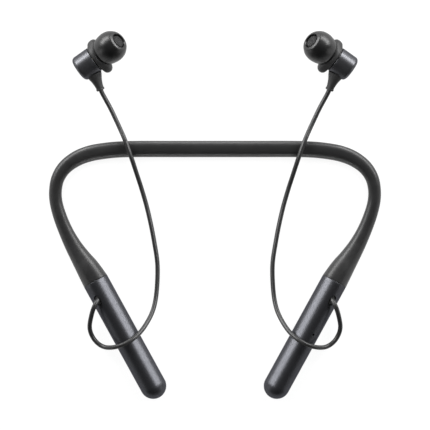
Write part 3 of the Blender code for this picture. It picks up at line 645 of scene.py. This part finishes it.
def pod_shell():
    """The whole hollow casing before it is parted."""
    inner = POD_RADIUS - POD_WALL
    along = [SOCKET_DEPTH + (POD_STRAIGHT - SOCKET_DEPTH) * i / 28 for i in range(29)]
    profile = arc(POD_STRAIGHT, 0.0, inner, 90, 0, 16)[:-1]
    profile += [(x, inner) for x in reversed(along)]
    profile += [(SOCKET_DEPTH, SOCKET_RADIUS), (0.0, SOCKET_RADIUS)]
    profile += arc(SEAM_ROUNDING, POD_RADIUS - SEAM_ROUNDING, SEAM_ROUNDING, -90, 0, 4)
    profile += [(x, POD_RADIUS) for x in along]
    profile += arc(POD_STRAIGHT, 0.0, POD_RADIUS, 0, 90, 24)[1:]
    profile[0] = (profile[0][0], 0.0)
    profile[-1] = (profile[-1][0], 0.0)
    return turned(profile, 112)


def build_pod(name, side):
    """Upper and lower casings with the openings of that side."""
    pod = pod_frame(side)
    long, wide = (-1.0, POD_STRAIGHT + PAST), (-PAST, PAST)
    upper = add(f"{name}_upper_casing", pod_shell(), "pod", pod)
    tools = [
        (block((long, wide, (-PAST, PARTING))), pod, "DIFFERENCE"),
        (stadium(((CUT_FROM, *SLOT_HALF), (PAST, *SLOT_HALF))), pod @ exit_frame(side), "DIFFERENCE"),
    ]
    if side > 0:
        hole = upright(rod(CUT_FROM, PAST, MIC_RADIUS, 32))
        tools.append((hole, pod @ exit_frame(side, MIC_ALONG), "DIFFERENCE"))
    carve(upper, tools, 30.0)
    stands_for(upper, f"{name}_arm", "pod_paint", f"{name}_pod_upper_casing")
    lower = add(f"{name}_lower_casing", pod_shell(), "pod", pod)
    tools = [
        (block((long, wide, (PARTING - PARTING_GAP, PAST))), pod, "DIFFERENCE"),
        (block((long, wide, (-PAST, -POD_HEIGHT))), pod, "DIFFERENCE"),
    ]
    if side > 0:
        tall = CONTROL_HALF + CLEARANCE
        reach = BUTTON_HALF_LENGTH + CLEARANCE
        for _, x in BUTTONS:
            hole = stadium(((CUT_FROM, reach, tall), (PAST, reach, tall)))
            hole.transform(Matrix.Rotation(math.radians(90), 4, "X"))
            tools.append((hole, pod @ Matrix.Translation((x, 0.0, CONTROL_HEIGHT)), "DIFFERENCE"))
        half = PORT_HALF_LENGTH + PORT_GAP
        low, high = CONTROL_HEIGHT + FLAP_BOTTOM - CLEARANCE, CONTROL_HEIGHT + FLAP_TOP + CLEARANCE
        port = block(((PORT_ALONG - half, PORT_ALONG + half), (CUT_FROM, PAST), (low, high)))
        tools.append((port, pod, "DIFFERENCE"))
        light = pod @ Matrix.Translation((LIGHT_ALONG, 0.0, CONTROL_HEIGHT))
        tools.append((sideways(rod(CUT_FROM, PAST, LIGHT_RADIUS, 32)), light, "DIFFERENCE"))
    carve(lower, tools, 30.0)
    stands_for(lower, f"{name}_arm", "pod_paint", f"{name}_pod_lower_casing")
    # height, half length and half width: a flange under the casing, then the neck in the slot
    levels = ((2.9, 2.7, 1.8), (3.5, 2.7, 1.8), (3.55, 2.1, 1.22), (4.85, 2.1, 1.22), (5.0, 1.95, 1.07))
    grommet = add(f"{name}_grommet", stadium(levels), "button", pod @ exit_frame(side))
    stands_for(grommet, f"{name}_arm", "button_rubber", f"{name}_cord_grommet")


def build_buttons():
    """Four soft keys with rounded edges on the pod at +X, whose faces follow its curve."""
    pod = pod_frame(1)
    reach, tall, curved_from = BUTTON_HALF_LENGTH, CONTROL_HALF, 4.0
    for label, along in BUTTONS:
        rings = []
        for inset, out in ((0.0, 3.3), (0.0, 5.05), (0.05, 5.25), (0.18, 5.42), (0.42, 5.53), (0.8, 5.58)):
            ring = []
            for end, shift in ((0, reach - tall), (1, tall - reach)):
                for i in range(13):
                    turn = math.pi * (end + i / 12) - math.pi / 2
                    x = shift + (tall - inset) * math.cos(turn)
                    z = (tall - inset) * math.sin(turn)
                    drop = POD_RADIUS - math.sqrt(POD_RADIUS ** 2 - (CONTROL_HEIGHT + z) ** 2)
                    ring.append(Vector((x, -(out - drop if out > curved_from else out), z)))
            rings.append(ring)
        matrix = pod @ Matrix.Translation((along, 0.0, CONTROL_HEIGHT))
        key = add(f"{label}_key", skin(rings), "button", matrix)
        stands_for(key, f"{label}_key", "button_rubber", f"{label}_button")


# ---------------------------------------------------------------- earbuds


def bent_axis(distance):
    """Centre and tilt of the earbud's axis, from the seam forward."""
    straight, bent = 1.2, 3.4
    x = z = walked = 0.0
    tilt = HOUSING_TILT
    while walked < distance - 1e-9:
        stride = min(0.05, distance - walked)
        share = min(max((walked + stride / 2 - straight) / (bent - straight), 0.0), 1.0)
        tilt = HOUSING_TILT + (NOZZLE_TILT - HOUSING_TILT) * share
        x += stride * math.cos(math.radians(tilt))
        z += stride * math.sin(math.radians(tilt))
        walked += stride
    return Vector((x, 0.0, z)), tilt


def axis_matrix(distance):
    """Matrix whose X axis runs along the earbud's bent axis at that distance."""
    centre, tilt = bent_axis(distance)
    return Matrix.Translation(centre) @ Matrix.Rotation(math.radians(-tilt), 4, "Y")


def bent_ring(distance, radius, count):
    """Ring round the earbud's bent axis."""
    matrix = axis_matrix(distance)
    return [matrix @ point for point in circle(0.0, radius, count)]


def boot_frame():
    """Root, tail and directions of the strain relief."""
    root = Vector((BOOT_ROOT[0], -BOOT_ROOT[1], BOOT_ROOT[2]))
    tail = Vector((BOOT_TAIL[0], -BOOT_TAIL[1], BOOT_TAIL[2]))
    ahead = (tail - root).normalized()
    across = ahead.cross(Vector((0.0, 0.0, 1.0))).normalized()
    return root, tail, ahead, across, across.cross(ahead)


def boot_ring(lead, wide, tall, count):
    """Oval ring round the strain relief's axis, that far past its root."""
    root, _, ahead, across, up = boot_frame()
    turns = (math.tau * k / count for k in range(count))
    return [root + ahead * lead + across * (wide * math.cos(t)) + up * (tall * math.sin(t)) for t in turns]


def build_bud(name, side):
    """Housing, strain relief, front shell, wing and tip of one earbud."""
    ear = ear_frame(side)
    tilted = ear @ Matrix.Rotation(math.radians(-HOUSING_TILT), 4, "Y")
    build_housing(name, ear, tilted)
    build_boot(name, ear, tilted)
    build_front(name, ear)
    wing = add(f"{name}_wing", skin(wing_sections(), closed=True), "wing", tilted, 60.0)
    stands_for(wing, f"{name}_bud", "silicone", f"{name}_ear_wing")
    build_tip(name, ear)


def build_housing(name, ear, tilted):
    """Painted cup behind the seam, with the strain relief's hole."""
    inner = HOUSING_RADIUS - HOUSING_WALL
    edge = 1.7
    profile = [(-7.7, 0.0), (-7.6, 3.3), (-7.0, 4.5), (-6.3, inner), (-0.1, inner)]
    profile += arc(-0.28, HOUSING_RADIUS - 0.18, 0.18, 90, 0, 5)
    profile += [(-2.0, HOUSING_RADIUS), (-4.0, HOUSING_RADIUS)]
    profile += arc(edge - HOUSING_DEPTH, HOUSING_RADIUS - edge, edge, 0, -90, 14)
    profile += [(-HOUSING_DEPTH - 0.06, 2.8), (-HOUSING_DEPTH - 0.14, 1.6), (-HOUSING_DEPTH - 0.2, 0.0)]
    housing = add(f"{name}_housing", turned(profile, 96), "bud", tilted)
    hole = skin([boot_ring(lead, 1.75, 1.75, 48) for lead in (-2.0, 3.0)])
    carve(housing, [(hole, ear, "DIFFERENCE")], 30.0)
    stands_for(housing, f"{name}_bud", "bud_metal", f"{name}_bud_housing")


def build_boot(name, ear, tilted):
    """Strain relief: an oval foot on the housing that narrows to a collar round the cord."""
    # distance past the root, half width and half height
    sections = (
        (-0.2, 3.35, 2.4), (1.4, 2.9, 2.05), (3.0, 2.3, 1.8), (4.8, 1.85, 1.6), (6.3, 1.6, 1.5),
    )
    rings = [boot_ring(*spline(sections, i / 8), 48) for i in range(33)]
    collar = ((6.45, 1.55, 1.5), (6.55, 1.72, 1.67), (6.68, 1.77, 1.72), (7.2, 1.77, 1.72), (7.38, 1.7, 1.65))
    rings += [boot_ring(*section, 48) for section in collar]
    rings += [boot_ring(7.45, 1.5, 1.45, 48), boot_ring(7.4, 1.05, 1.05, 48)]
    boot = add(f"{name}_boot", skin(rings), "boot", ear)
    # room for the housing, and a neck back through its hole
    clear = rod(-14.0, 4.0, HOUSING_RADIUS + 0.04, 96)
    neck = skin([boot_ring(lead, 1.35, 1.35, 32) for lead in (-0.2, 3.0)])
    carve(boot, [(clear, tilted, "DIFFERENCE"), (neck, ear, "UNION")], 40.0)
    stands_for(boot, f"{name}_bud", "silicone", f"{name}_strain_relief")


def build_front(name, ear):
    """Front shell round the bent axis, from the seam to the nozzle's bead, as (distance, radius) pairs."""
    outer = (
        (0.05, 5.3), (0.15, 5.4), (0.4, 5.4), (0.45, 5.2), (2.0, 5.15), (2.9, 4.6), (3.8, 3.6), (4.6, 2.95),
        (5.0, NOZZLE_RADIUS), (13.0, NOZZLE_RADIUS), (13.2, 2.92), (13.9, 2.92), (NOZZLE_END, 2.6),
    )
    inward = ((NOZZLE_END, NOZZLE_BORE), (4.6, NOZZLE_BORE), (3.3, 3.4), (2.0, 4.3), (0.15, 4.6))
    path = rounded(outer + inward, 0.35, 4)
    shell = add(f"{name}_front", skin([bent_ring(d, r, 80) for d, r in path], closed=True), "shell", ear, 45.0)
    stands_for(shell, f"{name}_bud", "shell_plastic", f"{name}_front_shell")


def build_tip(name, ear):
    """Soft ear tip: the umbrella outside, and the sleeve on the nozzle inside it."""
    profile = (
        (0.0, 6.1), (0.7, 6.33), (1.5, 6.5), (3.0, 6.7), (4.5, 6.68), (6.0, 6.35), (7.2, 5.75), (8.1, 5.1),
        (8.7, 4.5), (TIP_LENGTH, 3.8), (TIP_LENGTH + 0.1, 3.4), (8.6, 3.1), (0.7, 3.05), (0.7, 3.7),
        (6.3, 3.75), (7.0, 4.2), (6.6, 5.0), (5.4, 5.9), (3.4, 6.3), (1.4, 6.1), (0.1, 5.75),
    )
    lines = [spline(profile[:11], i / 4) for i in range(41)]
    lines += [spline(profile[10:12], i / 3) for i in range(1, 4)]
    lines += rounded(profile[12:], 0.5, 4)
    tip = add(f"{name}_tip_umbrella", turned(lines, 96, closed=True), "tip", ear @ axis_matrix(TIP_SEAT), 50.0)
    stands_for(tip, f"{name}_tip", "tip_rubber", f"{name}_ear_tip")


def wing_sections():
    """Sections of the ear wing round the housing's axis: a sleeve with a nub and, by the cord, a lobe."""
    sections, count, steps = [], 128, 36
    for i in range(count):
        turn = math.tau * i / count
        cordward = -math.cos(turn)
        front = WING_FRONT - WING_RISE * max(math.sin(turn), 0.0) ** 1.3
        section = [(front, 5.05), (min(2.0, front - 0.3), WING_INNER), (WING_BACK, WING_INNER)]
        for k in range(steps):
            x = WING_BACK + (front - WING_BACK) * (0.5 - 0.5 * math.cos(math.pi * k / (steps - 1)))
            section.append((x, wing_radius(x, front, cordward)))
        sections.append([Vector((x, r * math.cos(turn), r * math.sin(turn))) for x, r in section])
    return sections


def wing_radius(x, front, cordward):
    """Outer radius of the ear wing; cordward is 1 on the side of the cord and -1 opposite."""
    edge = min(1.0, (x - WING_BACK + 0.12) / 0.6, (front - x + 0.25) / 1.6)
    radius = 5.3 + 0.65 * math.sin(math.pi / 2 * edge)
    for facing, centre, half, height in ((1, 2.4, 2.2, 2.3), (-1, 3.1, 2.3, 1.4)):
        bulge = max(0.0, 1.0 - ((x - centre) / half) ** 2) ** 0.5
        radius += height * max(facing * cordward, 0.0) ** 8 * bulge
    return radius


# ---------------------------------------------------------------- cords


def cord_path(side):
    """The cord's centreline from inside the pod's slot to inside the strain relief, in millimetres."""
    _, tail, ahead, _, _ = boot_frame()
    ear = ear_frame(side)
    end = ear @ (tail + ahead * -0.3)
    near = ear @ (tail + ahead * 1.2)
    middle = ear @ (tail + ahead * 0.65)
    route = [(side * x, y, z) for x, y, z in CORD_ROUTE] + [tuple(near), tuple(middle), tuple(end)]
    first = Vector(route[0])
    inward = (pod_frame(side) @ exit_frame(side)).to_3x3() @ Vector((-0.35, 0.0, -1.0)).normalized()
    route.insert(0, tuple(first + inward * 1.3))
    return eased(evenly(route, CORD_STEPS), CORD_EASING)


def build_cord(name, side):
    """A round cord on its whole route."""
    points = [Vector(p) for p in cord_path(side)]
    rings = []
    normal = Vector((0.0, 0.0, 1.0))
    for i, point in enumerate(points):
        ahead = (points[min(i + 1, len(points) - 1)] - points[max(i - 1, 0)]).normalized()
        normal = (normal - ahead * normal.dot(ahead)).normalized()
        across = ahead.cross(normal)
        ring = []
        for k in range(CORD_AROUND):
            t = math.tau * k / CORD_AROUND
            ring.append(point + across * (CORD_RADIUS * math.cos(t)) + normal * (CORD_RADIUS * math.sin(t)))
        rings.append(ring)
    cord = add(f"{name}_cord_jacket", skin(rings), "cord", None, 50.0)
    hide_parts(f"{name}_cord")
    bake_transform(cord)


# ---------------------------------------------------------------- frame nodes that stay

# words in the nodes' names; a later row wins over an earlier one
STAYING = (
    ("spring", ("spring_wire",)),
    ("loom", ("wiring_loom",)),
    ("shell", ("band_anchor",)),
    ("gauze", ("nozzle_mesh",)),
    ("steel", ("driver_basket", "radio_shield_can", "board_screw", "charging_socket", "microphone")),
    ("magnet", ("driver_magnet",)),
    ("film", ("driver_diaphragm", "chip_antenna")),
    ("board", ("protection_board", "main_board")),
    ("cell", ("battery_cell",)),
    ("foam", ("foam_pad",)),
    ("switch", ("_switch",)),
    ("guide", ("light_guide",)),
    ("button", ("microphone_gasket", "charging_flap")),
)


def dress_frame():
    """Give each staying node its material."""
    for name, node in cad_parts.items():
        if node.hide_render:
            continue
        for look, words in STAYING:
            if any(word in name for word in words):
                node.data.materials.clear()
                node.data.materials.append(LOOKS[look])


# ---------------------------------------------------------------- stage


def lamp(name, place, aim, size, power):
    """A rectangular soft box that faces the aim; its size is in metres and its power in watts."""
    data = bpy.data.lights.new(name, "AREA")
    data.shape = "RECTANGLE"
    data.size, data.size_y = size
    data.energy = power
    light = bpy.data.objects.new(name, data)
    bpy.context.scene.collection.objects.link(light)
    light.location = place
    light.rotation_euler = (Vector(aim) - Vector(place)).to_track_quat("-Z", "Y").to_euler()
    return light


def light_only(light, pieces):
    """The light falls on those pieces alone."""
    lit = bpy.data.collections.new(f"lit_by_{light.name}")
    for piece in pieces:
        lit.objects.link(piece)
    light.light_linking.receiver_collection = lit


def build_floor():
    """Pale paper that glows a little, so that its white holds with a very faint shadow."""
    bm = bmesh.new()
    reach = 3.0
    bm.faces.new([bm.verts.new(p) for p in (
        (-reach, -reach, 0.0), (reach, -reach, 0.0), (reach, reach, 0.0), (-reach, reach, 0.0))])
    mesh = bpy.data.meshes.new("floor")
    bm.to_mesh(mesh)
    bm.free()
    paper = Nodes("floor_paper", (0.07, 0.07, 0.07), 0.9)
    paper.tint(paper.noise(3.0, 2.0), (0.067, 0.067, 0.067), (0.073, 0.073, 0.073))
    paper.shader.inputs["Emission Color"].default_value = (1.0, 1.0, 1.0, 1.0)
    paper.shader.inputs["Emission Strength"].default_value = 0.9
    mesh.materials.append(paper.material)
    floor = bpy.data.objects.new("floor", mesh)
    floor.location = (0.0, 0.0, -0.0002)
    bpy.context.scene.collection.objects.link(floor)


def build_lights():
    """Soft boxes that light the pods and earbuds across from them, and lights that the whole part shares.

    The two halves of the band always share their lights, or the bow would change brightness at its middle.
    """
    bpy.context.view_layer.update()
    lit = [piece for piece in bpy.context.scene.objects if piece.type in {"MESH", "CURVE"}]
    for name, side in SIDES:
        key = lamp(f"softbox_{name}", (side * 0.4, 0.24, 0.54), (0.0, 0.0, 0.0), (0.4, 0.42), 5.4)
        across = []
        for piece in lit:
            corners = [piece.matrix_world @ Vector(corner) for corner in piece.bound_box]
            opposite = side * sum(corner.x for corner in corners) < CENTRED
            if opposite and not piece.name.endswith(("tip_umbrella", "band_skin")):
                across.append(piece)
        light_only(key, across)
        lamp(f"side_light_{name}", (side * 0.9, -0.3, 0.22), (side * 0.05, -0.02, 0.0), (0.4, 0.3), 0.7)
        lamp(
            f"back_light_{name}", (side * 0.55, 0.64, 0.3), (side * 0.05, 0.065, 0.0), (0.95, 0.32), 12.0)

    for name, place, power in (("fill_front", (0.0, -0.75, 0.2), 4.0), ("edge_back", (0.0, 0.8, 0.1), 5.0)):
        strip = lamp(name, place, (0.0, 0.0, 0.0), (0.9, 0.2), power)
        light_only(strip, [piece for piece in lit if piece.name.endswith("band_skin")])


def build_surroundings():
    """Dim world and the camera straight above."""
    world = bpy.data.worlds.new("surroundings")
    world.use_nodes = True
    background = world.node_tree.nodes["Background"]
    background.inputs["Color"].default_value = (1.0, 1.0, 1.0, 1.0)
    background.inputs["Strength"].default_value = 0.08
    bpy.context.scene.world = world

    camera_data = bpy.data.cameras.new("camera")
    camera_data.lens = 300.0
    camera_data.sensor_width = 36.0
    camera_data.clip_start, camera_data.clip_end = 0.1, 10.0
    camera = bpy.data.objects.new("camera", camera_data)
    bpy.context.scene.collection.objects.link(camera)
    distance = PICTURE_WIDTH * camera_data.lens / camera_data.sensor_width
    camera.location = (0.0, 0.0, FOCUS_HEIGHT + distance)
    bpy.context.scene.camera = camera
    bpy.context.scene.view_settings.view_transform = "Standard"


for name, side in SIDES:
    band_half(name, side)
    build_pod(name, side)
    build_bud(name, side)
    build_cord(name, side)
build_buttons()
dress_frame()
build_floor()
build_lights()
build_surroundings()
